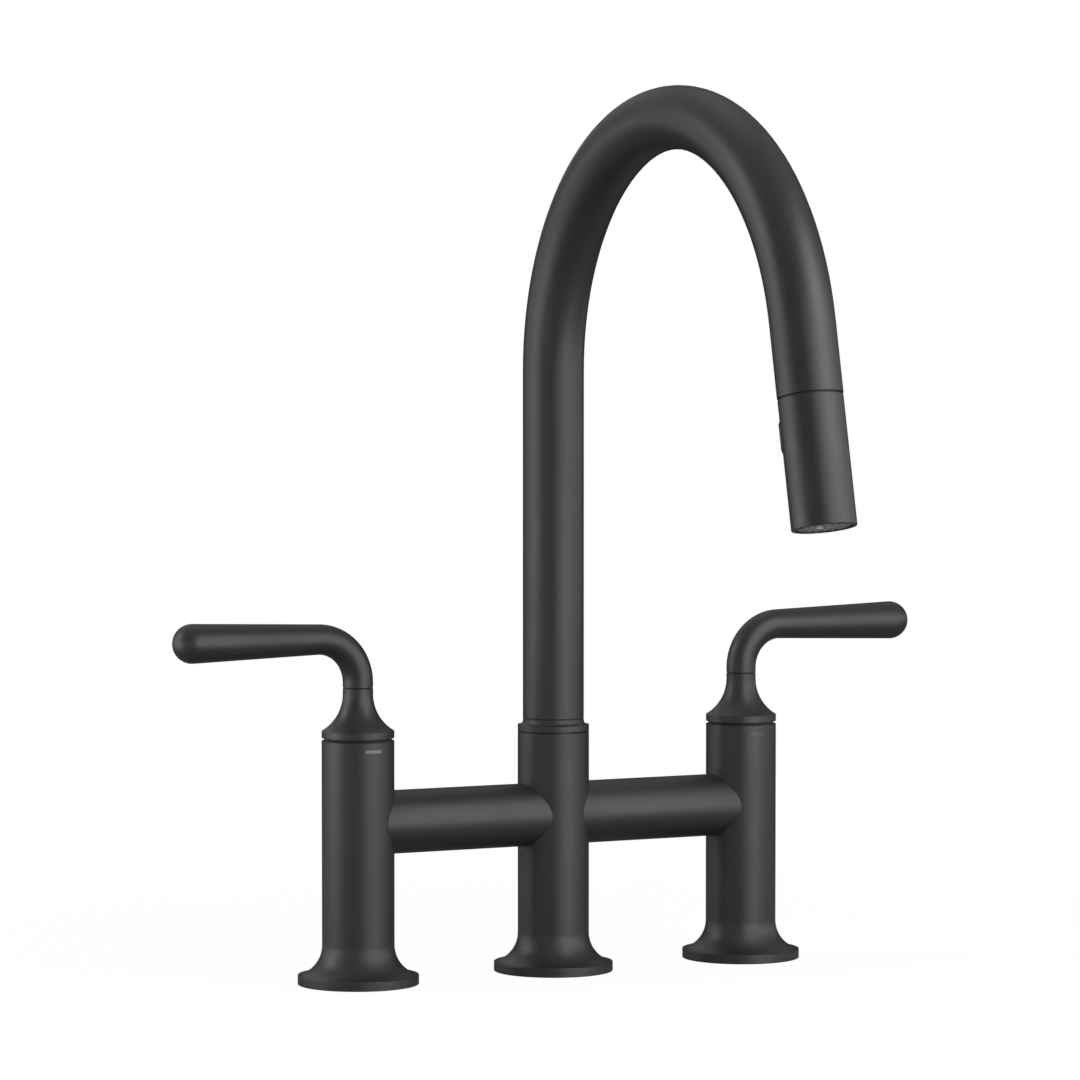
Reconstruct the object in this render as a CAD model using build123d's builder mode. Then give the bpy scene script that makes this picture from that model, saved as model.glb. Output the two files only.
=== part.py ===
from build123d import *
import math
import os

# Bridge kitchen faucet with a pull-out spray head: two quarter-turn valve legs, a bridge between
# them, and a swivelling arched spout on the centre leg.
#
# Frame: millimetres, +Z up. The origin is on the deck plane at the centre leg's axis. X runs along
# the bridge, with the hot leg at -X. The spout reaches out over the sink towards -Y.
# All radii are named *_r, heights above the deck *_z, and lengths *_h, *_w or *_run.

os.makedirs("parts", exist_ok=True)

# ------------------------------------------------------------------------- driving dimensions

# Legs: foot, flare and column
leg_spacing = 100.0
column_r = 16.45
side_top_z = 110.6
centre_top_z = 110.85
top_edge_r = 0.25
foot_r = 27.5
foot_rim_h = 4.4
foot_land_w = 1.7
foot_edge_r = 0.35
flare_r = 14.2
gasket_inset = 3.6
gasket_w = 3.8
gasket_h = 1.5

# Sockets in the feet: G 1/2 shanks under the valves, M28 x 1.5 shank under the centre leg
valve_socket_r = 9.32
valve_socket_h = 14.0
inlet_r = 5.0
deck_socket_r = 13.19
deck_socket_h = 12.0

# Clearances
seat_gap = 0.1          # between round pieces that are fixed together
running_gap = 0.05      # between round pieces that turn or slide on each other
window_gap = 0.3        # round a button in its window
face_gap = 0.05         # between flat faces that slide past each other

# Quarter-turn valve
pocket_wall = 3.2
pocket_h = 22.6
shoulder_w = 3.45
valve_drop = 10.8       # from the bridge's axis down to the valve's seat
cage_lift = 1.0
water_gap = 0.8
cage_wall = 1.7
seat_washer_h = 3.0
seat_washer_w = 2.6
disc_h = 4.0
disc_port_r = 1.9
dog_plate_h = 3.0
dog_w = 3.2
dog_h = 1.5
cage_window_w = 8.0
cage_roof_h = 3.5       # between the driving plate and the neck
flange_h = 3.0
neck_r = 7.8
neck_h = 12.5
clamp_nut_h = 7.0
spanner_slot_w = 3.0
spanner_slot_h = 2.0
spindle_r = 4.0
spindle_flat_w = 0.6
spindle_reach = 10.2    # how far the spindle stands in the hub
oring_r = 0.8

# Handle: glide ring, flared hub, bent lever
glide_gap_h = 1.2
glide_ring_r = 15.3
glide_spigot_h = 4.0
glide_wall = 3.6
hub_rim_h = 3.2
hub_edge_r = 0.25
hub_flare_r = 19.3
hub_neck_r = 6.88
hub_neck_h = 2.84
neck_groove = 0.35
stud_r = 3.0
stud_h = 10.0
grub_r = 1.25
grub_h = 9.5
grub_socket_r = 0.65
grub_socket_h = 1.5
stem_h = 2.4
bend_r = 20.0
grip_run = 61.6
grip_end_r = 8.9

# Hot and cold marks, inlaid in the front of the valve legs
mark_w = 8.3
mark_h = 1.6
mark_depth = 0.6
mark_drop = 3.95
mark_proud = 0.03

# Bridge
bridge_z = 72.8
bridge_r = 14.45
bridge_wall = 1.8
cope_gap = 0.05
conduit_r = 5.5
conduit_wall = 1.5
valve_lip = 1.5         # floor of the conduit's socket in a valve leg
centre_lip = 0.85       # the same in the centre leg
conduit_oring_r = 0.45
conduit_oring_inset = 1.1

# Centre leg: manifold and swivel bearing
centre_bore_r = 12.6
manifold_top_z = 88.0
gallery_h = 15.6
gallery_depth = 3.5
mix_port_r = 2.2
mix_port_y = 9.5
bearing_rib_top_z = 102.5
bearing_rib_h = 4.0
bearing_rib_w = 1.0
lower_bush_h = 6.0
bush_wall = 1.45
bush_flange_r = 15.2
journal_wall = 2.6
snap_ring_h = 1.0
snap_ring_slot = 0.8
snap_ring_gap_deg = 40.0

# Spout
collar_gap_h = 0.35
collar_rim_h = 2.9
collar_slope_h = 2.0
collar_h = 5.9
tube_r = 14.07
tube_wall = 1.67
tube_groove = 0.25
journal_spigot_h = 16.0
arch_start_z = 276.77
arch_r = 112.68
arch_deg = 168.0
end_run = 31.7

# Hose
hose_r = 5.0
hose_wall = 1.7
hose_passage_gap = 0.7
hose_start_z = 15.0
coupling_r = 6.2
coupling_h = 12.0
hose_nut_h = 18.0
hose_nut_lift = 3.0     # from the nut's lower end up to the mouth
hose_nut_wall = 1.2
hose_nut_land = 0.45
hose_socket_h = 9.0

# Dock in the spout's mouth
dock_sleeve_h = 16.0
dock_magnet_h = 4.5
dock_magnet_inset = 1.2
dock_stop_gap = 0.15

# Spray head, measured down from the mouth
seam_h = 0.75
head_r = 13.93
head_h = 56.45
head_wall = 1.93
head_edge_r = 0.35
keeper_h = 1.45
keeper_rim_w = 0.7
tail_h = 20.0
tail_wall = 3.2
tail_flange_h = 2.4
core_land_h = 3.5
core_waist_h = 17.5
core_waist_r = 8.5
core_tail_h = 12.5
core_tail_r = 9.4
core_bore_r = 2.5
valve_pocket_h = 7.5
check_valve_r = 4.8
check_valve_wall = 1.4
check_poppet_r = 2.6

# Spray button and its diverter spool
button_top_run = 8.8
button_h = 13.8
button_w = 22.0
button_corner_r = 2.4
button_proud = 1.4
button_skin = 1.6
button_travel = 1.5
button_edge_r = 0.3
spool_r = 3.0
spool_waist_r = 1.9
spool_waist_h = 3.4
spool_end = 4.0
spring_wire_r = 0.2
spring_turns = 3
spring_seat_depth = 0.5
spring_spare = 0.3      # left between the coils when the button is pressed in

# Spray face
face_inset = 0.55
plate_h = 2.4
plate_ring_w = 0.65
mat_h = 1.0
nozzle_r = 0.62
nozzle_jet_r = 0.25
nozzle_proud = 0.4
nozzle_ring_r = (7.4, 9.8)
nozzle_ring_count = (12, 18)
aerator_r = 5.4
aerator_h = 9.0
aerator_grid_h = 1.2
aerator_hole_r = 0.5
aerator_ring_r = (1.7, 3.4)
aerator_ring_count = (6, 12)

# ---------------------------------------------------------------------------- derived sizes

# Leg
land_r = foot_r - foot_land_w
flare_top_z = foot_rim_h + math.sqrt(flare_r**2 - (column_r + flare_r - land_r) ** 2)
gasket_outer_r = foot_r - gasket_inset
gasket_inner_r = gasket_outer_r - gasket_w

# Valve, from its seat upwards
seat_z = bridge_z - valve_drop
pocket_r = column_r - pocket_wall
chamber_r = pocket_r - shoulder_w
cage_r = chamber_r - water_gap
cage_bore_r = cage_r - cage_wall
disc_r = cage_bore_r - seat_gap
fixed_disc_z = seat_z + seat_washer_h
turning_disc_z = fixed_disc_z + disc_h
dog_plate_z = turning_disc_z + disc_h
cage_roof_z = dog_plate_z + dog_plate_h + cage_roof_h
shoulder_z = side_top_z - pocket_h
nut_z = shoulder_z + flange_h
neck_bore_r = spindle_r + running_gap

# Handle
hub_z = side_top_z + glide_gap_h
hub_rim_top_z = hub_z + hub_rim_h
hub_flare_top_z = hub_rim_top_z + math.sqrt(hub_flare_r**2 - (hub_neck_r + hub_flare_r - column_r) ** 2)
hub_top_z = hub_flare_top_z + hub_neck_h
spindle_top_z = hub_z + spindle_reach
grub_z = hub_z + hub_rim_h / 2
stem_top_z = hub_top_z + stem_h
grip_z = stem_top_z + bend_r

# Bridge
conduit_bore_r = conduit_r - conduit_wall
conduit_socket_r = conduit_r + seat_gap
valve_socket_floor = chamber_r + valve_lip
centre_socket_floor = centre_bore_r + centre_lip

# Centre leg
manifold_r = centre_bore_r - seat_gap
passage_r = hose_r + hose_passage_gap
bush_r = centre_bore_r - seat_gap
bush_bore_r = bush_r - bush_wall
journal_r = bush_bore_r - running_gap
journal_bore_r = journal_r - journal_wall
rib_bottom_z = bearing_rib_top_z - bearing_rib_h
lower_bush_z = rib_bottom_z - lower_bush_h
snap_ring_z = lower_bush_z - face_gap - snap_ring_h
journal_z = snap_ring_z - snap_ring_slot

# Spout
collar_z = centre_top_z + collar_gap_h
tube_z = collar_z + collar_h
tube_bore_r = tube_r - tube_wall
arch_axis = Axis((0, -arch_r, arch_start_z), (1, 0, 0))
outlet_y = -math.sin(math.radians(arch_deg))
outlet_z = math.cos(math.radians(arch_deg))
arch_end = Plane(
    (0, arch_r * (outlet_z - 1), arch_start_z - arch_r * outlet_y),
    x_dir=(1, 0, 0),
    z_dir=(0, outlet_y, outlet_z),
)
mouth = arch_end.offset(end_run)

# Hose and dock: distances along the mouth's axis, positive out of the spout
hose_bore_r = hose_r - hose_wall
hose_nut_bore_r = hose_r + seat_gap
hose_nut_r = hose_nut_bore_r + hose_nut_wall
hose_land_r = hose_nut_r + hose_nut_land
hose_nut_top = -hose_nut_lift - hose_nut_h
hose_end = hose_nut_top + hose_socket_h
tail_bore_r = hose_land_r + running_gap
tail_r = tail_bore_r + tail_wall
dock_sleeve_bottom = -dock_magnet_inset - dock_magnet_h
dock_outer_r = tube_bore_r - seat_gap

# Spray head
shell_bore_r = head_r - head_wall
keeper_r = head_r - keeper_rim_w
keeper_bottom = dock_stop_gap + keeper_h
core_top = keeper_bottom + tail_flange_h
core_waist_top = core_top + core_land_h
core_waist_bottom = core_waist_top + core_waist_h
core_tail_top = core_waist_bottom + core_land_h
core_bottom = core_tail_top + core_tail_h
core_r = shell_bore_r - seat_gap
button_mid = button_top_run + button_h / 2
spring_seat = core_waist_r - spring_seat_depth
spring_room_r = spool_r + 4 * spring_wire_r
spring_solid_h = 2 * spring_wire_r * (spring_turns + 1)
boss_face = spring_seat + spring_solid_h + spring_spare + button_travel
plate_bottom = head_h - face_inset
plate_top = plate_bottom - plate_h
mat_top = plate_top - mat_h
plate_r = core_r - plate_ring_w
aerator_top = plate_bottom - aerator_h


# -------------------------------------------------------------------------------- helpers


def level(leg_x, height):
    """Horizontal plane on a leg's axis, facing up."""
    return Plane((leg_x, 0, height))


def section(leg_x):
    """Upright plane through a leg's axis, on which lathe profiles are drawn as (radius, height)."""
    return Plane((leg_x, 0, 0), x_dir=(1, 0, 0), z_dir=(0, -1, 0))


def leg_axis(leg_x):
    """Upright axis of a leg."""
    return Axis((leg_x, 0, 0), (0, 0, 1))


def sideways(start_x, direction):
    """Plane across the bridge's axis, facing along +X or -X."""
    return Plane((start_x, 0, bridge_z), x_dir=(0, 1, 0), z_dir=(direction, 0, 0))


def across_head(distance):
    """Plane through the head's axis at a distance below the mouth, facing the button's side."""
    return Plane(mouth.offset(distance).origin, x_dir=(1, 0, 0), z_dir=-mouth.y_dir)


def ring(plane, outer_r, inner_r, length, mode=Mode.ADD):
    """A ring that stands on a plane, or a plain round where the inner radius is 0."""
    with BuildSketch(plane) as outline:
        Circle(outer_r)
        if inner_r > 0:
            Circle(inner_r, mode=Mode.SUBTRACT)
    extrude(outline.sketch, amount=length, mode=mode)


def bore(plane, radius, length):
    """A round hole sunk from a plane along its normal."""
    ring(plane, radius, 0, length, mode=Mode.SUBTRACT)


def oring(plane, major_r, minor_r):
    """An O-ring lying in a plane."""
    with Locations(plane):
        Torus(major_r, minor_r)


def groove(plane, outer_r, inner_r, width):
    """A groove turned round a shaft, centred on a plane."""
    ring(plane.offset(-width / 2), outer_r + 1, inner_r, width, mode=Mode.SUBTRACT)


def save(piece, name):
    """Labels a finished piece and writes it."""
    piece.part.label = name
    export_step(piece.part, f"parts/{name}.step")


def leg_blank(leg_x, top_z):
    """The turned outside of a leg: foot rim, flare, column, and the groove for the gasket."""
    with BuildSketch(section(leg_x)) as profile:
        with BuildLine():
            FilletPolyline((0, 0), (foot_r, 0), (foot_r, foot_rim_h), (land_r, foot_rim_h),
                           radius=foot_edge_r)
            TangentArc((column_r, flare_top_z), (land_r, foot_rim_h), tangent=(0, -1))
            FilletPolyline((column_r, flare_top_z), (column_r, top_z), (0, top_z), radius=top_edge_r)
            Line((0, top_z), (0, 0))
        make_face()
    revolve(profile.sketch, axis=leg_axis(leg_x))
    ring(level(leg_x, 0), gasket_outer_r, gasket_inner_r, gasket_h, mode=Mode.SUBTRACT)


def make_gasket(name, leg_x):
    """Rubber ring that seals a foot to the deck."""
    with BuildPart() as gasket:
        ring(level(leg_x, 0), gasket_outer_r - seat_gap, gasket_inner_r + seat_gap, gasket_h)
    save(gasket, name)


# ----------------------------------------------------------------------------- valve legs


def make_valve_column(side, leg_x, inward):
    """Valve leg, bored from below for the supply and from above for the cartridge."""
    with BuildPart() as column:
        leg_blank(leg_x, side_top_z)
        bore(level(leg_x, 0), valve_socket_r, valve_socket_h)
        bore(level(leg_x, 0), inlet_r, seat_z + 1)
        bore(level(leg_x, seat_z), chamber_r, side_top_z - seat_z)
        bore(level(leg_x, shoulder_z), pocket_r, pocket_h)
        # Outlet to the bridge, with a wider socket for the conduit
        bore(sideways(leg_x, inward), conduit_bore_r, column_r)
        bore(sideways(leg_x, inward).offset(valve_socket_floor), conduit_socket_r, column_r)
        # Pocket for the hot or cold mark
        with BuildSketch(section(leg_x).offset(column_r - mark_depth)):
            with Locations((0, side_top_z - mark_drop)):
                Rectangle(mark_w, mark_h)
        extrude(amount=mark_depth * 2, mode=Mode.SUBTRACT)
    save(column, f"column_{side}")


def make_index_mark(side, leg_x):
    """Inlaid bar that shows which leg is hot and which is cold."""
    with BuildPart() as mark:
        with BuildSketch(section(leg_x).offset(column_r - mark_depth)):
            with Locations((0, side_top_z - mark_drop)):
                Rectangle(mark_w - seat_gap, mark_h - seat_gap)
        extrude(amount=mark_depth * 2)
        with Locations(level(leg_x, side_top_z - mark_drop)):
            Cylinder(column_r + mark_proud, mark_h * 2, mode=Mode.INTERSECT)
    save(mark, f"index_mark_{side}")


def make_cartridge(side, leg_x):
    """Brass cage of the valve: windows at the discs, a flange on the shoulder, a long neck."""
    cage_z = seat_z + cage_lift
    with BuildPart() as cartridge:
        ring(level(leg_x, cage_z), cage_r, 0, shoulder_z - cage_z)
        ring(level(leg_x, shoulder_z), pocket_r - seat_gap, 0, flange_h)
        ring(level(leg_x, nut_z), neck_r, 0, neck_h)
        bore(level(leg_x, cage_z), cage_bore_r, cage_roof_z - cage_z)
        bore(level(leg_x, cage_z), neck_bore_r, nut_z + neck_h - cage_z)
        with BuildSketch(sideways(leg_x - cage_r - 1, 1)):
            with Locations((0, turning_disc_z + disc_h / 2 - bridge_z)):
                Rectangle(cage_window_w, disc_h)
        extrude(amount=2 * cage_r + 2, mode=Mode.SUBTRACT)
        groove(level(leg_x, shoulder_z - 4 * oring_r), cage_r, cage_r - 2 * oring_r + water_gap,
               2.5 * oring_r)
    save(cartridge, f"cartridge_{side}")


def make_cartridge_seals(side, leg_x):
    """Washer under the fixed disc, and the O-ring round the cage."""
    with BuildPart() as seals:
        ring(level(leg_x, seat_z), disc_r, disc_r - seat_washer_w, seat_washer_h)
        oring(level(leg_x, shoulder_z - 4 * oring_r), chamber_r - oring_r - running_gap,
              oring_r - running_gap)
    save(seals, f"cartridge_seals_{side}")


def make_discs(side, leg_x):
    """Ceramic pair: round ports in the lower disc, side channels and a slot in the upper one."""
    with BuildPart() as fixed_disc:
        ring(level(leg_x, fixed_disc_z), disc_r, 0, disc_h)
        with BuildSketch(level(leg_x, fixed_disc_z)):
            with Locations((disc_r / 2, 0), (-disc_r / 2, 0)):
                Circle(disc_port_r)
        extrude(amount=disc_h, mode=Mode.SUBTRACT)
    save(fixed_disc, f"fixed_disc_{side}")

    with BuildPart() as turning_disc:
        ring(level(leg_x, turning_disc_z), disc_r, 0, disc_h)
        # Channels that run out to the rim, a quarter turn from the ports when the valve is shut
        with BuildSketch(level(leg_x, turning_disc_z)):
            with Locations((0, disc_r), (0, -disc_r)):
                Rectangle(2 * disc_port_r, disc_r + disc_port_r)
        extrude(amount=disc_h / 2, mode=Mode.SUBTRACT)
        with BuildSketch(level(leg_x, dog_plate_z - dog_h - face_gap)):
            Rectangle(2 * disc_r + 1, dog_w + 2 * seat_gap)
        extrude(amount=dog_h + 1, mode=Mode.SUBTRACT)
    save(turning_disc, f"turning_disc_{side}")


def make_spindle(side, leg_x):
    """Spindle: a bar that drives the upper disc, a plate, and a shaft with a flat."""
    with BuildPart() as spindle:
        ring(level(leg_x, dog_plate_z + face_gap), disc_r - running_gap, 0, dog_plate_h)
        ring(level(leg_x, dog_plate_z + dog_plate_h), spindle_r, 0,
             spindle_top_z - dog_plate_z - dog_plate_h)
        with BuildSketch(level(leg_x, dog_plate_z - dog_h)):
            Circle(disc_r - seat_gap)
            Rectangle(2 * disc_r, dog_w, mode=Mode.INTERSECT)
        extrude(amount=dog_h + 2 * face_gap)
        with BuildSketch(level(leg_x, hub_z)):
            with Locations((0, spindle_r)):
                Rectangle(3 * spindle_r, 2 * spindle_flat_w)
        extrude(amount=spindle_reach, mode=Mode.SUBTRACT)
    save(spindle, f"spindle_{side}")


def make_clamp_nut(side, leg_x):
    """Ring nut on the cartridge's flange, with four slots for a pin spanner."""
    with BuildPart() as nut:
        ring(level(leg_x, nut_z), pocket_r - seat_gap, neck_r + seat_gap, clamp_nut_h)
        with BuildSketch(level(leg_x, nut_z + clamp_nut_h - spanner_slot_h)):
            Rectangle(2 * pocket_r, spanner_slot_w)
            Rectangle(spanner_slot_w, 2 * pocket_r)
        extrude(amount=spanner_slot_h, mode=Mode.SUBTRACT)
    save(nut, f"clamp_nut_{side}")


def make_glide_ring(side, leg_x):
    """Dark plastic ring that the hub turns on, seen as the gap under the hub."""
    spigot_r = pocket_r - seat_gap
    with BuildPart() as glide:
        ring(level(leg_x, side_top_z - glide_spigot_h), spigot_r, spigot_r - glide_wall, glide_spigot_h)
        ring(level(leg_x, side_top_z), glide_ring_r, spigot_r - glide_wall, glide_gap_h - face_gap)
    save(glide, f"glide_ring_{side}")


def make_lever_hub(side, leg_x):
    """Flared hub: a rim as wide as the column, drawn in to the neck that carries the lever."""
    with BuildPart() as hub:
        with BuildSketch(section(leg_x)) as profile:
            with BuildLine():
                FilletPolyline((0, hub_z), (column_r, hub_z), (column_r, hub_rim_top_z),
                               radius=hub_edge_r)
                TangentArc((hub_neck_r, hub_flare_top_z), (column_r, hub_rim_top_z), tangent=(0, -1))
                Polyline(
                    (hub_neck_r, hub_flare_top_z),
                    (hub_neck_r, hub_top_z - neck_groove),
                    (hub_neck_r - neck_groove, hub_top_z),
                    (0, hub_top_z),
                    (0, hub_z),
                )
            make_face()
        revolve(axis=leg_axis(leg_x))
        bore(level(leg_x, hub_z), spindle_r + seat_gap, spindle_reach + seat_gap)
        bore(level(leg_x, hub_top_z - stud_h - seat_gap), stud_r + seat_gap, stud_h + 1)
        bore(grub_plane(leg_x, 0), grub_r + running_gap, column_r + 1)
    save(hub, f"lever_hub_{side}")


def grub_plane(leg_x, reach):
    """Plane across the grub screw's axis, facing the back of the hub."""
    return Plane((leg_x, reach, grub_z), x_dir=(1, 0, 0), z_dir=(0, 1, 0))


def make_grub_screw(side, leg_x):
    """Set screw that bears on the spindle's flat, with a hexagon socket."""
    with BuildPart() as grub:
        ring(grub_plane(leg_x, spindle_r - spindle_flat_w + face_gap), grub_r, 0, grub_h)
        with BuildSketch(grub_plane(leg_x, spindle_r - spindle_flat_w + face_gap + grub_h)):
            RegularPolygon(grub_socket_r, 6)
        extrude(amount=-grub_socket_h, mode=Mode.SUBTRACT)
    save(grub, f"grub_screw_{side}")


def make_lever(side, leg_x, outward):
    """Lever: a stud in the hub, a short stem, a quarter bend, and a grip that swells to its end."""
    bend_x = leg_x + outward * bend_r
    grip_end_x = bend_x + outward * grip_run
    with BuildPart() as lever:
        ring(level(leg_x, hub_top_z - stud_h), stud_r, 0, stud_h)
        with BuildSketch(section(leg_x)):
            Polygon(
                (0, hub_top_z),
                (hub_neck_r - neck_groove, hub_top_z),
                (hub_neck_r, hub_top_z + neck_groove),
                (hub_neck_r, stem_top_z),
                (0, stem_top_z),
                align=None,
            )
        revolve(axis=leg_axis(leg_x))
        with BuildSketch(level(leg_x, stem_top_z)):
            Circle(hub_neck_r)
        revolve(axis=Axis((bend_x, 0, stem_top_z), (0, outward, 0)), revolution_arc=90)
        with BuildSketch(Plane.XZ):
            with BuildLine():
                Line((bend_x, grip_z), (bend_x, grip_z + hub_neck_r))
                Line((bend_x, grip_z + hub_neck_r), (grip_end_x, grip_z + grip_end_r))
                RadiusArc(
                    (grip_end_x, grip_z + grip_end_r),
                    (grip_end_x + outward * grip_end_r, grip_z),
                    radius=outward * grip_end_r,
                )
                Line((grip_end_x + outward * grip_end_r, grip_z), (bend_x, grip_z))
            make_face()
        revolve(axis=Axis((bend_x, 0, grip_z), (1, 0, 0)))
    save(lever, f"lever_{side}")


# --------------------------------------------------------------------------------- bridge


def make_bridge(side, direction):
    """One arm of the bridge: coped outer pipe, water conduit inside it, and its two O-rings."""
    with BuildPart() as pipe:
        ring(sideways(0, direction), bridge_r, bridge_r - bridge_wall, leg_spacing)
        with Locations(level(0, bridge_z), level(direction * leg_spacing, bridge_z)):
            Cylinder(column_r + cope_gap, 4 * bridge_r, mode=Mode.SUBTRACT)
    save(pipe, f"bridge_pipe_{side}")

    start = centre_socket_floor + seat_gap
    end = leg_spacing - valve_socket_floor - seat_gap
    seal_planes = [
        sideways(direction * (start + conduit_oring_inset), direction),
        sideways(direction * (end - conduit_oring_inset), direction),
    ]
    with BuildPart() as conduit:
        ring(sideways(direction * start, direction), conduit_r, conduit_bore_r, end - start)
        for plane in seal_planes:
            groove(plane, conduit_r, conduit_r - 2 * conduit_oring_r, 2.4 * conduit_oring_r)
    save(conduit, f"bridge_conduit_{side}")

    with BuildPart() as seals:
        for plane in seal_planes:
            oring(plane, conduit_r + running_gap - conduit_oring_r, conduit_oring_r - running_gap / 2)
    save(seals, f"bridge_seals_{side}")


# ----------------------------------------------------------------------------- centre leg


def make_centre_column():
    """Centre leg: deck socket, manifold bore, and a rib between the two swivel bushes."""
    with BuildPart() as column:
        leg_blank(0, centre_top_z)
        bore(level(0, 0), deck_socket_r, deck_socket_h)
        bore(level(0, 0), centre_bore_r, rib_bottom_z)
        bore(level(0, 0), centre_bore_r - bearing_rib_w, centre_top_z)
        bore(level(0, bearing_rib_top_z), centre_bore_r, centre_top_z - bearing_rib_top_z)
        for direction in (-1, 1):
            bore(sideways(0, direction), conduit_bore_r, column_r)
            bore(sideways(0, direction).offset(centre_socket_floor), conduit_socket_r, column_r)
    save(column, "centre_column")


def manifold_seal_planes():
    """Planes of the O-rings above and below the mixing gallery."""
    reach = gallery_h / 2 + 3 * oring_r
    return [level(0, bridge_z - reach), level(0, bridge_z + reach)]


def make_manifold():
    """Spool that collects hot and cold in a gallery, sends the mix down, and lets the hose through."""
    with BuildPart() as manifold:
        ring(level(0, deck_socket_h + seat_gap), manifold_r, 0,
             manifold_top_z - deck_socket_h - seat_gap)
        bore(level(0, 0), passage_r, manifold_top_z)
        bore(level(0, 0), coupling_r + seat_gap, hose_start_z + coupling_h)
        groove(level(0, bridge_z), manifold_r, manifold_r - gallery_depth, gallery_h)
        for plane in manifold_seal_planes():
            groove(plane, manifold_r, manifold_r - 2 * oring_r, 2.5 * oring_r)
        with BuildSketch(level(0, 0)):
            with Locations((0, -mix_port_y)):
                Circle(mix_port_r)
        extrude(amount=bridge_z, mode=Mode.SUBTRACT)
    save(manifold, "mixer_manifold")

    with BuildPart() as seals:
        for plane in manifold_seal_planes():
            oring(plane, centre_bore_r - oring_r - running_gap, oring_r - running_gap / 2)
    save(seals, "manifold_seals")


def make_bushes():
    """Two plastic bushes: one under the rib, one above it with a flange under the collar."""
    upper_h = centre_top_z - bearing_rib_top_z
    with BuildPart() as bushes:
        ring(level(0, lower_bush_z), bush_r, bush_bore_r, lower_bush_h)
        ring(level(0, bearing_rib_top_z), bush_r, bush_bore_r, upper_h)
        ring(level(0, centre_top_z), bush_flange_r, bush_bore_r, collar_gap_h - face_gap)
    save(bushes, "spout_bushes")


# ---------------------------------------------------------------------------------- spout


def arched_tube(outer_r, inner_r, start_z, length_past_arch):
    """A tube along the spout's centreline: straight up, over the arch, and down to the mouth."""
    ring(level(0, start_z), outer_r, inner_r, arch_start_z - start_z)
    with BuildSketch(level(0, arch_start_z)) as wall:
        Circle(outer_r)
        Circle(inner_r, mode=Mode.SUBTRACT)
    revolve(wall.sketch, axis=arch_axis, revolution_arc=arch_deg)
    ring(arch_end, outer_r, inner_r, length_past_arch)


def make_spout():
    """Arched tube, the stepped collar at its foot, and the journal that turns in the leg."""
    with BuildPart() as tube:
        arched_tube(tube_r, tube_bore_r, tube_z, end_run)
        foot_edge = tube.edges().filter_by(GeomType.CIRCLE).group_by(Axis.Z)[0].sort_by(SortBy.RADIUS)[-1]
        chamfer(foot_edge, tube_groove)
    save(tube, "spout_tube")

    with BuildPart() as collar:
        with BuildSketch(section(0)):
            with BuildLine():
                FilletPolyline((journal_r + seat_gap, collar_z), (column_r, collar_z),
                               (column_r, collar_z + collar_rim_h), radius=top_edge_r)
                # Hollow slope from the rim up to the tube's width
                slope_top = (tube_r, collar_z + collar_rim_h + collar_slope_h)
                TangentArc(slope_top, (column_r, collar_z + collar_rim_h), tangent=(0, -1))
                Polyline(
                    slope_top,
                    (tube_r, tube_z - tube_groove),
                    (tube_r - tube_groove, tube_z),
                    (journal_r + seat_gap, tube_z),
                    (journal_r + seat_gap, collar_z),
                )
            make_face()
        revolve(axis=Axis.Z)
    save(collar, "spout_collar")

    with BuildPart() as journal:
        ring(level(0, journal_z), journal_r, journal_bore_r, tube_z - journal_z)
        ring(level(0, tube_z), tube_bore_r - seat_gap, journal_bore_r, journal_spigot_h)
        groove(level(0, snap_ring_z + snap_ring_h / 2), journal_r, journal_r - snap_ring_slot,
               snap_ring_h + 2 * face_gap)
    save(journal, "spout_journal")

    with BuildPart() as snap_ring:
        ring(level(0, snap_ring_z), bush_r - seat_gap, journal_r - snap_ring_slot + seat_gap, snap_ring_h)
        with BuildSketch(level(0, snap_ring_z)):
            with Locations((0, centre_bore_r)):
                Rectangle(2 * centre_bore_r * math.sin(math.radians(snap_ring_gap_deg / 2)), centre_bore_r)
        extrude(amount=snap_ring_h, mode=Mode.SUBTRACT)
    save(snap_ring, "retaining_ring")


def make_dock():
    """Plastic sleeve and ring magnet in the spout's mouth, which guide and hold the spray head."""
    with BuildPart() as sleeve:
        ring(mouth.offset(dock_sleeve_bottom), dock_outer_r, tail_r + running_gap, -dock_sleeve_h)
    save(sleeve, "dock_sleeve")

    with BuildPart() as magnet:
        ring(mouth.offset(dock_sleeve_bottom), dock_outer_r, tail_r + seat_gap, dock_magnet_h)
    save(magnet, "dock_magnet")


# -------------------------------------------------------------------------------- the hose


def make_hose():
    """Hose from the coupling in the centre leg, through the spout, to the nut in the head's tail."""
    with BuildPart() as hose:
        arched_tube(hose_r, hose_bore_r, hose_start_z, end_run + hose_end)
    save(hose, "spray_hose")

    with BuildPart() as coupling:
        ring(level(0, hose_start_z), coupling_r, hose_r + seat_gap, coupling_h - seat_gap)
        ring(level(0, deck_socket_h + 2 * seat_gap), coupling_r, hose_bore_r,
             hose_start_z - deck_socket_h - 2 * seat_gap)
    save(coupling, "hose_coupling")

    with BuildPart() as nut:
        ring(mouth.offset(hose_nut_top), hose_nut_r, hose_nut_bore_r, hose_socket_h)
        ring(mouth.offset(hose_end), hose_land_r, hose_bore_r, hose_nut_h - hose_socket_h)
    save(nut, "hose_nut")


# ------------------------------------------------------------------------------ spray head


def button_outline(plane, gap):
    """The button's rounded outline, grown by a gap, on a plane across the button's travel."""
    with BuildSketch(plane) as outline:
        RectangleRounded(button_w + 2 * gap, button_h + 2 * gap, button_corner_r + gap)
    return outline.sketch


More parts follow.
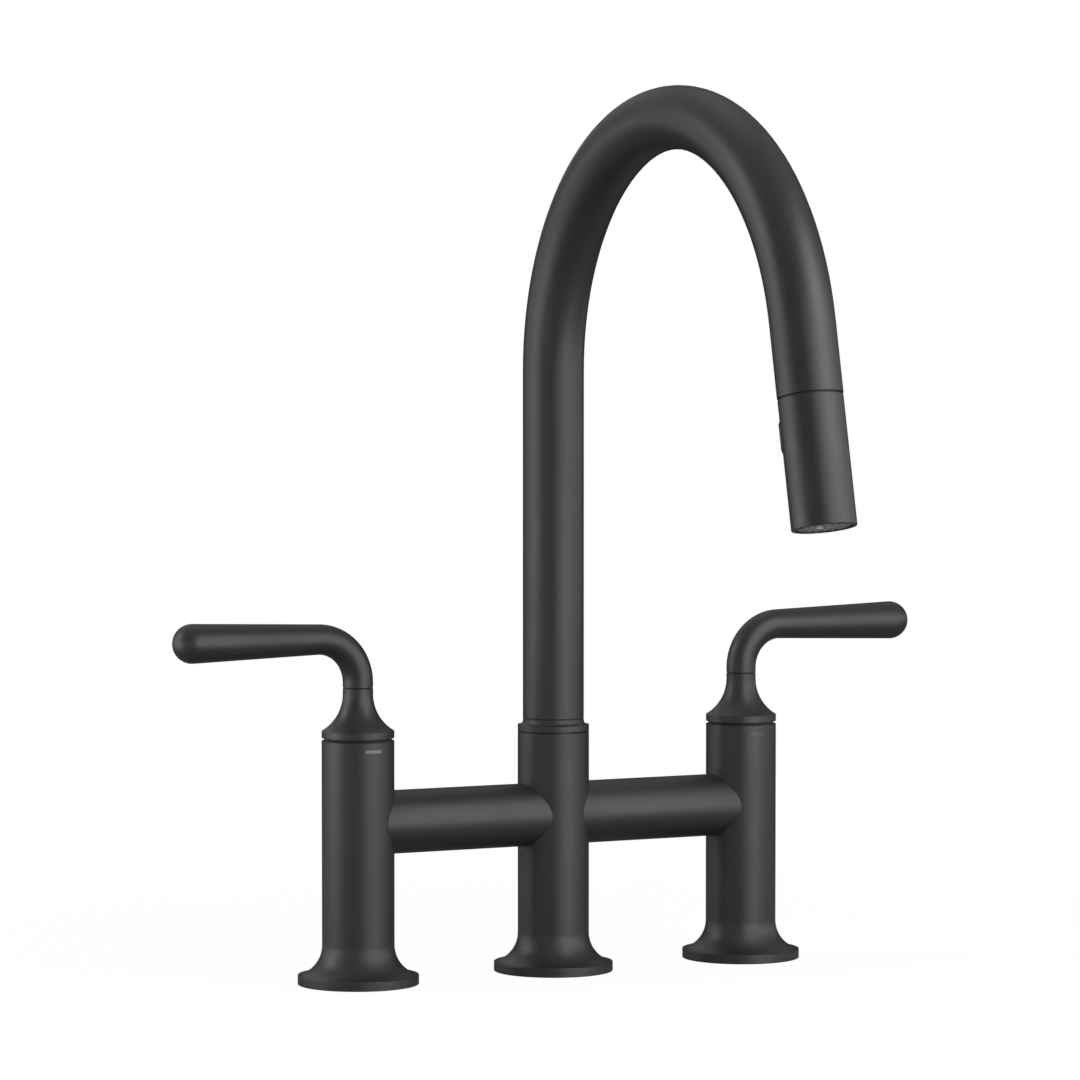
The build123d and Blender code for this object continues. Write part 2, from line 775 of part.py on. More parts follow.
def make_head_shell():
    """Outer shell of the spray head, with the button's window and a seat for the keeper ring."""
    with BuildPart() as shell:
        ring(mouth.offset(seam_h), head_r, 0, head_h - seam_h)
        rims = shell.edges().filter_by(GeomType.CIRCLE)
        fillet(rims, head_edge_r)
        bore(mouth.offset(0), shell_bore_r, head_h)
        bore(mouth.offset(0), keeper_r + seat_gap, keeper_bottom)
        extrude(button_outline(across_head(button_mid), window_gap), amount=2 * head_r,
                mode=Mode.SUBTRACT)
    save(shell, "head_shell")


def make_tail():
    """Tail that plugs into the dock, and the steel ring that the magnet holds."""
    with BuildPart() as tail:
        ring(mouth.offset(keeper_bottom), tail_r, tail_bore_r, -tail_h)
        ring(mouth.offset(keeper_bottom), core_r, tail_bore_r, tail_flange_h)
    save(tail, "dock_collar")

    with BuildPart() as keeper:
        ring(mouth.offset(dock_stop_gap), keeper_r, tail_r + seat_gap, keeper_h)
    save(keeper, "keeper_ring")


def make_head_core():
    """Waterway of the head: check valve pocket on top, cross bore for the spool, two lands."""
    with BuildPart() as core:
        ring(mouth.offset(core_top), core_r, 0, core_land_h)
        ring(mouth.offset(core_waist_top), core_waist_r, 0, core_waist_h)
        ring(mouth.offset(core_waist_bottom), core_r, 0, core_land_h)
        ring(mouth.offset(core_tail_top), core_tail_r, 0, core_tail_h)
        bore(mouth.offset(core_top), check_valve_r + seat_gap, valve_pocket_h)
        bore(mouth.offset(core_top), core_bore_r, core_bottom - core_top)
        bore(mouth.offset(aerator_top - seat_gap), aerator_r + seat_gap, core_bottom)
        # Cross bore for the spool, and the flat seat of its spring
        bore(across_head(button_mid).offset(-spool_end - 2 * button_travel), spool_r + running_gap,
             2 * core_waist_r)
        bore(across_head(button_mid).offset(spring_seat), spring_room_r, core_waist_r)
        # Groove for the lower seal
        groove(mouth.offset(core_waist_bottom + core_land_h / 2), core_r, core_r - 2 * oring_r,
               2.5 * oring_r)
    save(core, "head_waterway")

    with BuildPart() as check_valve:
        ring(mouth.offset(core_top + seat_gap), check_valve_r, check_valve_r - check_valve_wall,
             valve_pocket_h - 2 * seat_gap)
        # Poppet on three ribs
        with BuildSketch(mouth.offset(core_top + valve_pocket_h / 2)):
            Circle(check_poppet_r)
            with PolarLocations(check_valve_r / 2, 3):
                Rectangle(check_valve_r - check_valve_wall / 2, 1)
        extrude(amount=check_valve_wall)
    save(check_valve, "check_valve")

    with BuildPart() as seals:
        oring(mouth.offset(core_waist_bottom + core_land_h / 2), shell_bore_r - oring_r - running_gap,
              oring_r - running_gap)
    save(seals, "head_seals")


def make_button():
    """Spray button: a saddle pad in the shell's window, with the diverter spool behind it."""
    axis_plane = across_head(button_mid)
    pad_back_r = shell_bore_r - button_skin + button_proud
    with BuildPart() as button:
        extrude(button_outline(axis_plane, 0), amount=2 * head_r)
        with Locations(Plane(axis_plane.origin, x_dir=(1, 0, 0), z_dir=mouth.z_dir)):
            Cylinder(pad_back_r, 2 * button_h, mode=Mode.SUBTRACT)
        # The outside is the shell's own round, moved out
        with Locations(Plane(axis_plane.offset(button_proud).origin, x_dir=(1, 0, 0), z_dir=mouth.z_dir)):
            Cylinder(head_r, 2 * button_h, mode=Mode.INTERSECT)
        outer_face = button.faces().sort_by(Axis(axis_plane.origin, axis_plane.z_dir))[-1]
        fillet(outer_face.edges(), button_edge_r)
        # Room for the spring behind the pad, closed by a boss that the spring pushes on
        bore(axis_plane, spring_room_r, boss_face)
        ring(axis_plane.offset(boss_face), spring_room_r, 0, pad_back_r + button_skin / 2 - boss_face)
        ring(axis_plane.offset(-spool_end), spool_r, 0, boss_face + spool_end + seat_gap)
        groove(axis_plane, spool_r, spool_waist_r, spool_waist_h)
    save(button, "spray_button")

    # Return spring round the spool, open coils between the core's seat and the button's boss
    seat = axis_plane.offset(spring_seat + spring_wire_r + face_gap)
    coil_h = boss_face - spring_seat - 2 * (spring_wire_r + face_gap)
    coil_r = spool_r + 2 * spring_wire_r
    with BuildPart() as spring:
        with BuildLine() as coil:
            Helix(coil_h / spring_turns, coil_h, coil_r, center=seat.origin, direction=seat.z_dir)
        with BuildSketch(coil.line ^ 0):
            Circle(spring_wire_r)
        sweep(is_frenet=True)
    save(spring, "button_spring")


def make_spray_face():
    """Spray face: aerator in the middle, nozzle mat behind a metal plate, and a retaining ring."""
    with BuildPart() as aerator:
        ring(mouth.offset(aerator_top), aerator_r, aerator_r - 1, aerator_h)
        ring(mouth.offset(plate_bottom - 2 * aerator_grid_h), aerator_r, 0, aerator_grid_h)
        with BuildSketch(mouth.offset(plate_bottom - 2 * aerator_grid_h)):
            Circle(aerator_hole_r)
            for ring_r, count in zip(aerator_ring_r, aerator_ring_count):
                with PolarLocations(ring_r, count):
                    Circle(aerator_hole_r)
        extrude(amount=aerator_grid_h, mode=Mode.SUBTRACT)
    save(aerator, "aerator")

    with BuildPart() as plate:
        ring(mouth.offset(plate_top), plate_r, aerator_r + seat_gap, plate_h)
        with BuildSketch(mouth.offset(plate_top)):
            for ring_r, count in zip(nozzle_ring_r, nozzle_ring_count):
                with PolarLocations(ring_r, count):
                    Circle(nozzle_r + seat_gap)
        extrude(amount=plate_h, mode=Mode.SUBTRACT)
    save(plate, "spray_plate")

    with BuildPart() as mat:
        ring(mouth.offset(mat_top), plate_r, aerator_r + seat_gap, mat_h)
        with BuildSketch(mouth.offset(plate_top)):
            for ring_r, count in zip(nozzle_ring_r, nozzle_ring_count):
                with PolarLocations(ring_r, count):
                    Circle(nozzle_r)
        extrude(amount=plate_h + nozzle_proud)
        with BuildSketch(mouth.offset(mat_top)):
            for ring_r, count in zip(nozzle_ring_r, nozzle_ring_count):
                with PolarLocations(ring_r, count):
                    Circle(nozzle_jet_r)
        extrude(amount=mat_h + plate_h + nozzle_proud, mode=Mode.SUBTRACT)
    save(mat, "spray_nozzles")

    with BuildPart() as face_ring:
        ring(mouth.offset(mat_top), core_r, plate_r + seat_gap, mat_h + plate_h)
    save(face_ring, "face_ring")


# ------------------------------------------------------------------------------- assembly

for side, outward in (("left", -1), ("right", 1)):
    leg_x = outward * leg_spacing
    make_valve_column(side, leg_x, -outward)
    make_gasket(f"foot_gasket_{side}", leg_x)
    make_index_mark(side, leg_x)
    make_cartridge(side, leg_x)
    make_cartridge_seals(side, leg_x)
    make_discs(side, leg_x)
    make_spindle(side, leg_x)
    make_clamp_nut(side, leg_x)
    make_glide_ring(side, leg_x)
    make_lever_hub(side, leg_x)
    make_grub_screw(side, leg_x)
    make_lever(side, leg_x, outward)
    make_bridge(side, outward)

make_centre_column()
make_gasket("foot_gasket_centre", 0)
make_manifold()
make_bushes()
make_spout()
make_dock()
make_hose()
make_head_shell()
make_tail()
make_head_core()
make_button()
make_spray_face()
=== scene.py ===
"""Looks of a bridge kitchen faucet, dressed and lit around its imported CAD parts."""

import logging
import math
from dataclasses import dataclass, field
from enum import Enum
from typing import Protocol

import bpy
import numpy as np
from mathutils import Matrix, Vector


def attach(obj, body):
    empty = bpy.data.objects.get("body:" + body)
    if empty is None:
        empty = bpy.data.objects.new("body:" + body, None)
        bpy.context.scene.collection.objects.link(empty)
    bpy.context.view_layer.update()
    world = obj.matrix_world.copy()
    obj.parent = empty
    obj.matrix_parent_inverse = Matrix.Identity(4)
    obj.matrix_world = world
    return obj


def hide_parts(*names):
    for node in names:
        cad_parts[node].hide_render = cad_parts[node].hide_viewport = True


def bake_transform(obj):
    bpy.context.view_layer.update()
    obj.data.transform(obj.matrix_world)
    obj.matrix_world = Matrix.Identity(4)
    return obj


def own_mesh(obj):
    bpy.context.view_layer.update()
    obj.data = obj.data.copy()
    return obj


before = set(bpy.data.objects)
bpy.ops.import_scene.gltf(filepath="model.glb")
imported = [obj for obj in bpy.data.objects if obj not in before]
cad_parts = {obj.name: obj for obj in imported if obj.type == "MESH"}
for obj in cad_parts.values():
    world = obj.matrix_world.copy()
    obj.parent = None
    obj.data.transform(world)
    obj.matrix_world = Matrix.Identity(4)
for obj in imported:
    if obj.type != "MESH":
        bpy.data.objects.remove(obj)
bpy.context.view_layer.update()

MM = 0.001
# The ends of a noise's usual range, which are stretched to a finish's own two roughnesses.
NOISE_LOW, NOISE_HIGH = 0.3, 0.7
# A wave texture at a scale of 1 repeats its bands at this distance.
WAVE_PERIOD = 0.314

log = logging.getLogger("bridge_faucet")

Value = float | tuple[float, ...] | bpy.types.NodeSocket


# ------------------------------------------------------------------------------ material helpers


def linear(colour: str) -> tuple[float, float, float, float]:
    """Turns an sRGB hex colour into a linear one.

    Args:
        colour: six hex digits after a hash sign.

    Returns:
        Red, green and blue in linear light, and an alpha of 1.
    """
    shares = [int(colour[start : start + 2], 16) / 255 for start in (1, 3, 5)]
    red, green, blue = (
        share / 12.92 if share <= 0.04045 else ((share + 0.055) / 1.055) ** 2.4 for share in shares
    )
    return red, green, blue, 1.0


def add_node(
    tree: bpy.types.NodeTree, kind: str, inputs: dict[str | int, Value], **settings: object
) -> bpy.types.Node:
    """Adds a node with its settings, and fills or links its inputs.

    Args:
        tree: the node tree that gets the node.
        kind: the node's Blender type, such as ShaderNodeBump.
        inputs: for each input, by name or place, a value or the socket that feeds it.
        **settings: the node's own settings, by name.

    Returns:
        The new node.
    """
    node = tree.nodes.new(kind)
    for name, value in settings.items():
        setattr(node, name, value)
    for name, value in inputs.items():
        if isinstance(value, bpy.types.NodeSocket):
            tree.links.new(value, node.inputs[name])
        else:
            node.inputs[name].default_value = value
    return node


def empty_tree(name: str) -> tuple[bpy.types.Material, bpy.types.NodeTree]:
    """Makes a node material with no nodes in it.

    Args:
        name: the material's name.

    Returns:
        The material and its node tree.
    """
    material = bpy.data.materials.new(name)
    material.use_nodes = True
    material.node_tree.nodes.clear()
    return material, material.node_tree


def per_metre(size_mm: float) -> float:
    """Scale of a noise whose features measure so many millimetres."""
    return 1.0 / (size_mm * MM)


class Finish(Protocol):
    """Anything that can hand over the material of a finished surface, with its slot's name."""

    slot: str

    def material(self) -> bpy.types.Material:
        """The finish as a Blender material."""


# -------------------------------------------------------------------------------------- finishes


@dataclass(frozen=True)
class GrainedCoat:
    """A surface with an even colour under a fine grain, such as a baked coat or moulded plastic.

    The colour goes from base to fleck with the grain, and the roughness changes with wider
    clouds. Both are measured in millimetres.
    """

    slot: str
    name: str
    base: str
    fleck: str
    roughness: tuple[float, float]
    grain_mm: float
    grain_depth_mm: float
    cloud_mm: float
    grain_detail: float = 2.0
    cloud_detail: float = 3.0

    def material(self) -> bpy.types.Material:
        """Builds the coat's material.

        Returns:
            The material, made on the first call and found by its name after that.
        """
        if self.name in bpy.data.materials:
            return bpy.data.materials[self.name]
        material, tree = empty_tree(self.name)
        place = add_node(tree, "ShaderNodeTexCoord", {})
        grain = add_node(
            tree,
            "ShaderNodeTexNoise",
            {
                "Vector": place.outputs["Object"],
                "Scale": per_metre(self.grain_mm),
                "Detail": self.grain_detail,
            },
        )
        cloud = add_node(
            tree,
            "ShaderNodeTexNoise",
            {
                "Vector": place.outputs["Object"],
                "Scale": per_metre(self.cloud_mm),
                "Detail": self.cloud_detail,
            },
        )
        colour = add_node(
            tree,
            "ShaderNodeMix",
            {0: grain.outputs["Fac"], 6: linear(self.base), 7: linear(self.fleck)},
            data_type="RGBA",
        )
        sheen = add_node(
            tree,
            "ShaderNodeMapRange",
            {
                0: cloud.outputs["Fac"],
                1: NOISE_LOW,
                2: NOISE_HIGH,
                3: self.roughness[0],
                4: self.roughness[1],
            },
        )
        bump = add_node(
            tree,
            "ShaderNodeBump",
            {"Height": grain.outputs["Fac"], "Strength": 1.0, "Distance": self.grain_depth_mm * MM},
        )
        surface = add_node(
            tree,
            "ShaderNodeBsdfPrincipled",
            {
                "Base Color": colour.outputs[2],
                "Roughness": sheen.outputs[0],
                "Normal": bump.outputs["Normal"],
            },
        )
        add_node(tree, "ShaderNodeOutputMaterial", {"Surface": surface.outputs[0]})
        return material


@dataclass(frozen=True)
class TurnedMetal:
    """A bare metal with the marks of its making under a cloudy tarnish.

    The stretch lengthens the marks: where it is small along an axis, they run on that way.
    """

    slot: str
    name: str
    base: str
    tarnish: str
    roughness: tuple[float, float]
    mark_mm: float
    mark_depth_mm: float
    cloud_mm: float
    stretch: tuple[float, float, float] = (1.0, 1.0, 1.0)
    mark_detail: float = 3.0
    cloud_detail: float = 4.0

    def material(self) -> bpy.types.Material:
        """Builds the metal's material.

        Returns:
            The material, made on the first call and found by its name after that.
        """
        if self.name in bpy.data.materials:
            return bpy.data.materials[self.name]
        material, tree = empty_tree(self.name)
        place = add_node(tree, "ShaderNodeTexCoord", {})
        lengthened = add_node(
            tree,
            "ShaderNodeMapping",
            {"Vector": place.outputs["Object"], "Scale": self.stretch},
        )
        marks = add_node(
            tree,
            "ShaderNodeTexNoise",
            {
                "Vector": lengthened.outputs[0],
                "Scale": per_metre(self.mark_mm),
                "Detail": self.mark_detail,
            },
        )
        cloud = add_node(
            tree,
            "ShaderNodeTexNoise",
            {
                "Vector": place.outputs["Object"],
                "Scale": per_metre(self.cloud_mm),
                "Detail": self.cloud_detail,
            },
        )
        colour = add_node(
            tree,
            "ShaderNodeMix",
            {0: cloud.outputs["Fac"], 6: linear(self.base), 7: linear(self.tarnish)},
            data_type="RGBA",
        )
        polish = add_node(
            tree,
            "ShaderNodeMapRange",
            {
                0: marks.outputs["Fac"],
                1: NOISE_LOW,
                2: NOISE_HIGH,
                3: self.roughness[0],
                4: self.roughness[1],
            },
        )
        bump = add_node(
            tree,
            "ShaderNodeBump",
            {"Height": marks.outputs["Fac"], "Strength": 1.0, "Distance": self.mark_depth_mm * MM},
        )
        surface = add_node(
            tree,
            "ShaderNodeBsdfPrincipled",
            {
                "Base Color": colour.outputs[2],
                "Metallic": 1.0,
                "Roughness": polish.outputs[0],
                "Normal": bump.outputs["Normal"],
            },
        )
        add_node(tree, "ShaderNodeOutputMaterial", {"Surface": surface.outputs[0]})
        return material


@dataclass(frozen=True)
class BraidedNylon:
    """Nylon yarn braided over the hose in two directions, laid out along and round the hose.

    The lay is the yarn's angle to the hose, in degrees.
    """

    slot: str
    name: str
    yarn: str
    gap_shade: str
    roughness: float
    yarn_mm: float
    yarn_depth_mm: float
    lay: float = 45.0
    sheen: float = 0.15

    def material(self) -> bpy.types.Material:
        """Builds the braid's material from the hose's own lengthwise coordinates.

        Returns:
            The material, made on the first call and found by its name after that.
        """
        if self.name in bpy.data.materials:
            return bpy.data.materials[self.name]
        material, tree = empty_tree(self.name)
        place = add_node(tree, "ShaderNodeUVMap", {}, uv_map="braid")
        both_ways = []
        for turn in (math.radians(self.lay), math.radians(-self.lay)):
            turned = add_node(
                tree,
                "ShaderNodeMapping",
                {"Vector": place.outputs[0], "Rotation": (0.0, 0.0, turn)},
            )
            both_ways.append(
                add_node(
                    tree,
                    "ShaderNodeTexWave",
                    {
                        "Vector": turned.outputs[0],
                        "Scale": WAVE_PERIOD * per_metre(self.yarn_mm),
                    },
                    wave_type="BANDS",
                    bands_direction="X",
                )
            )
        # Where the two sets of yarn cross, the one that stands higher there shows.
        over = add_node(
            tree,
            "ShaderNodeMath",
            {0: both_ways[0].outputs["Fac"], 1: both_ways[1].outputs["Fac"]},
            operation="MAXIMUM",
        )
        # Painted shade: the colour darkens with the yarns' height towards the gaps, following the
        # same height as the bump.
        colour = add_node(
            tree,
            "ShaderNodeMix",
            {0: over.outputs[0], 6: linear(self.gap_shade), 7: linear(self.yarn)},
            data_type="RGBA",
        )
        bump = add_node(
            tree,
            "ShaderNodeBump",
            {"Height": over.outputs[0], "Strength": 1.0, "Distance": self.yarn_depth_mm * MM},
        )
        surface = add_node(
            tree,
            "ShaderNodeBsdfPrincipled",
            {
                "Base Color": colour.outputs[2],
                "Roughness": self.roughness,
                "Normal": bump.outputs["Normal"],
                "Sheen Weight": self.sheen,
            },
        )
        add_node(tree, "ShaderNodeOutputMaterial", {"Surface": surface.outputs[0]})
        return material


# Baked epoxy coat, sprayed as powder: its fine orange-peel grain spreads each reflection into a
# soft satin band and leaves the shaded side almost black. The real grain is about 0.2 mm.
# It is drawn coarser, so that it shows in a close view.
BAKED_COAT = GrainedCoat(
    slot="black_coat",
    name="baked_matte_black_coat",
    base="#1b1b1c",
    fleck="#202021",
    roughness=(0.43, 0.49),
    grain_mm=0.5,
    grain_depth_mm=0.004,
    cloud_mm=22.0,
)

# The same coat on the moulded spray head, where the plastic beneath lets it lie smoother.
HEAD_COAT = GrainedCoat(
    slot="head_coat",
    name="baked_matte_black_coat_on_shell",
    base="#1b1b1c",
    fleck="#202021",
    roughness=(0.42, 0.47),
    grain_mm=0.5,
    grain_depth_mm=0.003,
    cloud_mm=22.0,
)

# ABS moulded in a spark-eroded tool: an even fine texture that reads as soft satin.
BUTTON_PLASTIC = GrainedCoat(
    slot="button_plastic",
    name="spark_textured_black_abs",
    base="#19191a",
    fleck="#1f1f20",
    roughness=(0.42, 0.48),
    grain_mm=0.45,
    grain_depth_mm=0.006,
    cloud_mm=12.0,
)

# Acetal fittings, moulded smooth: waxy and darker than the coat beside them.
BEARING_PLASTIC = GrainedCoat(
    slot="dark_plastic",
    name="moulded_black_acetal",
    base="#161617",
    fleck="#1b1b1c",
    roughness=(0.46, 0.54),
    grain_mm=0.7,
    grain_depth_mm=0.004,
    cloud_mm=10.0,
)

# Filled acetal glide rings, turned and left dull. Their near-black colour is partly the acetal's
# own and partly painted shade, which keeps the gap under each hub black.
GLIDE_PLASTIC_WITH_GAP_SHADE = GrainedCoat(
    slot="dark_plastic",
    name="turned_filled_acetal",
    base="#0a0a0b",
    fleck="#0f0f10",
    roughness=(0.7, 0.8),
    grain_mm=0.4,
    grain_depth_mm=0.02,
    cloud_mm=8.0,
)

# Nitrile rubber, pressed in a mould: dull, with a trace of dusty bloom.
NITRILE_RUBBER = GrainedCoat(
    slot="rubber",
    name="moulded_nitrile_rubber",
    base="#141414",
    fleck="#242423",
    roughness=(0.62, 0.78),
    grain_mm=0.9,
    grain_depth_mm=0.01,
    cloud_mm=6.0,
)

# Magnetic steel under hot black oxide: a thin dark film, dull enough to help keep the seam black.
# Its near-black colour is partly the oxide's own and partly painted shade in the seam.
BLACKENED_STEEL_WITH_SEAM_SHADE = GrainedCoat(
    slot="steel",
    name="hot_oxide_blackened_steel",
    base="#101012",
    fleck="#151517",
    roughness=(0.56, 0.68),
    grain_mm=0.5,
    grain_depth_mm=0.006,
    cloud_mm=5.0,
)

# Silicone nozzles, moulded: soft dark grey with a faint wet look.
SILICONE_NOZZLES = GrainedCoat(
    slot="nozzle_rubber",
    name="moulded_grey_silicone",
    base="#66666a",
    fleck="#707075",
    roughness=(0.5, 0.6),
    grain_mm=0.6,
    grain_depth_mm=0.004,
    cloud_mm=5.0,
)

# Sintered alumina, lapped flat: cream white and almost mirror smooth.
LAPPED_ALUMINA = GrainedCoat(
    slot="ceramic",
    name="lapped_alumina",
    base="#eae6da",
    fleck="#dfd9ca",
    roughness=(0.12, 0.2),
    grain_mm=0.4,
    grain_depth_mm=0.001,
    cloud_mm=7.0,
)

# Light grey enamel, filled into the hot leg's engraved mark and rubbed level.
LIGHT_ENAMEL = GrainedCoat(
    slot="hot_mark",
    name="light_grey_filled_enamel",
    base="#5f5f61",
    fleck="#69696b",
    roughness=(0.38, 0.46),
    grain_mm=0.4,
    grain_depth_mm=0.004,
    cloud_mm=3.0,
)

# Dark grey enamel in the cold leg's mark, only a little lighter than the coat.
DARK_ENAMEL = GrainedCoat(
    slot="cold_mark",
    name="dark_grey_filled_enamel",
    base="#2b2b2c",
    fleck="#323233",
    roughness=(0.36, 0.44),
    grain_mm=0.4,
    grain_depth_mm=0.004,
    cloud_mm=3.0,
)

# Free-cutting brass, turned: golden, with fine rings from the tool and a little tarnish.
TURNED_BRASS = TurnedMetal(
    slot="brass",
    name="turned_brass",
    base="#dcc07c",
    tarnish="#c4a562",
    roughness=(0.2, 0.34),
    mark_mm=0.5,
    mark_depth_mm=0.003,
    cloud_mm=9.0,
    stretch=(0.15, 0.15, 1.0),
)

# Stainless steel, turned or formed from wire: cool grey and satin.
STAINLESS_STEEL = TurnedMetal(
    slot="steel",
    name="satin_stainless_steel",
    base="#bfc0c2",
    tarnish="#b0b1b4",
    roughness=(0.26, 0.38),
    mark_mm=0.4,
    mark_depth_mm=0.002,
    cloud_mm=8.0,
)

# Pressed stainless spray plate, bead blasted: a pale, even mottle with no direction.
BLASTED_PLATE = TurnedMetal(
    slot="face_metal",
    name="bead_blasted_spray_plate",
    base="#b4b5b7",
    tarnish="#9c9da0",
    roughness=(0.34, 0.5),
    mark_mm=0.45,
    mark_depth_mm=0.012,
    cloud_mm=1.6,
)

# Sintered magnet under nickel: dark silver with a pitted, cloudy surface.
NICKELLED_MAGNET = TurnedMetal(
    slot="magnet",
    name="nickelled_sintered_magnet",
    base="#8f9092",
    tarnish="#77787b",
    roughness=(0.3, 0.48),
    mark_mm=0.8,
    mark_depth_mm=0.006,
    cloud_mm=4.0,
)

# Nylon yarn braided over the hose: charcoal, with a soft sheen. The colour darkens from the yarns'
# tops down into the gaps between them: painted shade.
# The real yarn is about 0.8 mm wide. It is drawn at about twice that, so that it shows.
HOSE_BRAID = BraidedNylon(
    slot="hose_braid",
    name="braided_charcoal_nylon",
    yarn="#5a5a5d",
    gap_shade="#1c1c1e",
    roughness=0.55,
    yarn_mm=1.57,
    yarn_depth_mm=0.25,
)


def dress(finish: Finish, *nodes: str) -> list[str]:
    """Gives solid pieces their finish.

    Args:
        finish: the finish that they get.
        *nodes: the pieces' names.

    Returns:
        The names of the dressed pieces.
    """
    for name in nodes:
        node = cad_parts[name]
        for place in node.material_slots:
            place.material = finish.material()
    return list(nodes)


# ---------------------------------------------------------------------------------------- studio


@dataclass(frozen=True)
class Softbox:
    """A rectangular softbox that faces the faucet.

    The azimuth goes round from the front, 0, to the cold leg's side, 90. Angles are in degrees
    and lengths in metres. The radiance is the box's own, where 1 is the white of the backdrop.
    """

    name: str
    azimuth: float
    elevation: float
    distance: float
    width: float
    height: float
    radiance: float

    def hang(self, target: Vector) -> None:
        """Puts the softbox in its place.

        Args:
            target: the point that it faces.
        """
        light = bpy.data.lights.new(self.name, "AREA")
        light.shape = "RECTANGLE"
        light.size = self.width
        light.size_y = self.height
        light.energy = self.radiance * math.pi * self.width * self.height
        lamp = bpy.data.objects.new(self.name, light)
        around, up = math.radians(self.azimuth), math.radians(self.elevation)
        away = Vector(
            (math.sin(around) * math.cos(up), -math.cos(around) * math.cos(up), math.sin(up))
        )
        lamp.location = target + away * self.distance
        lamp.rotation_euler = away.to_track_quat("Z", "Y").to_euler()
        lamp.visible_camera = False
        bpy.context.scene.collection.objects.link(lamp)


@dataclass
class Studio:
    """White backdrop, pale table top, softboxes and the camera, in metres.

    The camera's place, aim and focal length are those that were fitted to the photograph. The
    table top turns white for the camera from one distance by another, and the backdrop's gloss
    comes up between two heights of the direction in which it is seen.
    """

    camera_place: Vector = field(default_factory=lambda: Vector((-1.07248, -2.01907, 0.30693)))
    camera_aim: Vector = field(default_factory=lambda: Vector((0.466206, 0.883421, -0.047114)))
    focal_mm: float = 165.636
    sensor_mm: float = 36.0
    clip: tuple[float, float] = (0.05, 50.0)
    table_half: float = 0.62
    table_paint: str = "#9c9c9c"
    table_roughness: float = 0.9
    white_from: float = 0.22
    white_by: float = 0.62
    white_near: float = 0.96
    paint_hidden: float = 0.85
    aim: Vector = field(default_factory=lambda: Vector((0.0, -0.08, 0.2)))
    softboxes: tuple[Softbox, ...] = (
        Softbox("key_softbox", 45.0, 9.5, 1.6, 1.7, 0.84, 2.79),
        Softbox("front_softbox", 0.0, 2.0, 1.6, 0.85, 0.42, 4.87),
        Softbox("upper_front_softbox", 0.0, 17.0, 1.6, 0.85, 0.42, 2.79),
        Softbox("side_softbox", 90.0, 2.0, 1.6, 0.85, 0.42, 1.5),
        Softbox("arm_softbox", 25.0, 35.0, 0.6, 0.3, 0.3, 4.84),
        Softbox("table_strip", 25.0, -12.8, 0.81, 0.5, 0.042, 16.5),
        Softbox("rim_softbox", -120.0, 25.0, 1.6, 0.85, 0.6, 4.0),
        Softbox("low_rim_softbox", -120.0, 2.0, 1.6, 2.5, 0.6, 1.29),
        Softbox("left_softbox", -105.0, -8.0, 0.9, 0.6, 0.4, 3.0),
        Softbox("low_left_softbox", -60.0, -8.0, 0.9, 0.6, 0.4, 1.2),
        Softbox("back_softbox", -180.0, 25.0, 1.6, 0.85, 0.8, 0.5),
        Softbox("top_back_softbox", -180.0, 70.0, 1.6, 1.2, 0.8, 0.6),
    )
    backdrop_light: float = 0.1
    backdrop_gloss: float = 0.45
    gloss_from: float = 0.2
    gloss_by: float = 0.7

    def set_camera(self) -> None:
        """Makes the camera from the photograph's viewpoint and makes it the scene's own."""
        data = bpy.data.cameras.new("camera")
        data.lens = self.focal_mm
        data.sensor_width = self.sensor_mm
        data.clip_start, data.clip_end = self.clip
        camera = bpy.data.objects.new("camera", data)
        camera.location = self.camera_place
        camera.rotation_euler = self.camera_aim.to_track_quat("-Z", "Y").to_euler()
        bpy.context.scene.collection.objects.link(camera)
        bpy.context.scene.camera = camera

    def hang_backdrop(self) -> None:
        """Gives the world a white backdrop that lights the faucet far less than it shows."""
        world = bpy.data.worlds.new("white_backdrop")
        world.use_nodes = True
        tree = world.node_tree
        tree.nodes.clear()
        path = add_node(tree, "ShaderNodeLightPath", {})
        place = add_node(tree, "ShaderNodeTexCoord", {})
        towards = add_node(tree, "ShaderNodeSeparateXYZ", {0: place.outputs["Generated"]})
        # Seen by the camera and through clear parts at full white. In gloss it is dim and shows
        # overhead only, because the photograph's coat stays dark at its outlines.
        overhead = add_node(
            tree,
            "ShaderNodeMapRange",
            {
                0: towards.outputs["Z"],
                1: self.gloss_from,
                2: self.gloss_by,
                3: 0.0,
                4: self.backdrop_gloss,
            },
            interpolation_type="SMOOTHSTEP",
        )
        gloss = add_node(
            tree,
            "ShaderNodeMath",
            {0: path.outputs["Is Glossy Ray"], 1: overhead.outputs[0]},
            operation="MULTIPLY",
        )
        seen = add_node(
            tree,
            "ShaderNodeMath",
            {0: path.outputs["Is Camera Ray"], 1: path.outputs["Is Transmission Ray"]},
            operation="MAXIMUM",
        )
        shown = add_node(
            tree, "ShaderNodeMath", {0: seen.outputs[0], 1: gloss.outputs[0]}, operation="MAXIMUM"
        )
        ambient = add_node(
            tree,
            "ShaderNodeMath",
            {0: path.outputs["Is Diffuse Ray"], 1: self.backdrop_light},
            operation="MULTIPLY",
        )
        strength = add_node(
            tree,
            "ShaderNodeMath",
            {0: shown.outputs[0], 1: ambient.outputs[0]},
            operation="MAXIMUM",
        )
        light = add_node(
            tree,
            "ShaderNodeBackground",
            {"Color": (1.0, 1.0, 1.0, 1.0), "Strength": strength.outputs[0]},
        )
        add_node(tree, "ShaderNodeOutputWorld", {"Surface": light.outputs[0]})
        bpy.context.scene.world = world

    def lay_floor(self) -> None:
        """Lays a pale table top that the camera sees turn into the white backdrop."""
        half = self.table_half
        mesh = bpy.data.meshes.new("floor")
        mesh.from_pydata(
            [(-half, -half, 0), (half, -half, 0), (half, half, 0), (-half, half, 0)],
            [],
            [(0, 1, 2, 3)],
        )
        floor = bpy.data.objects.new("floor", mesh)
        bpy.context.scene.collection.objects.link(floor)
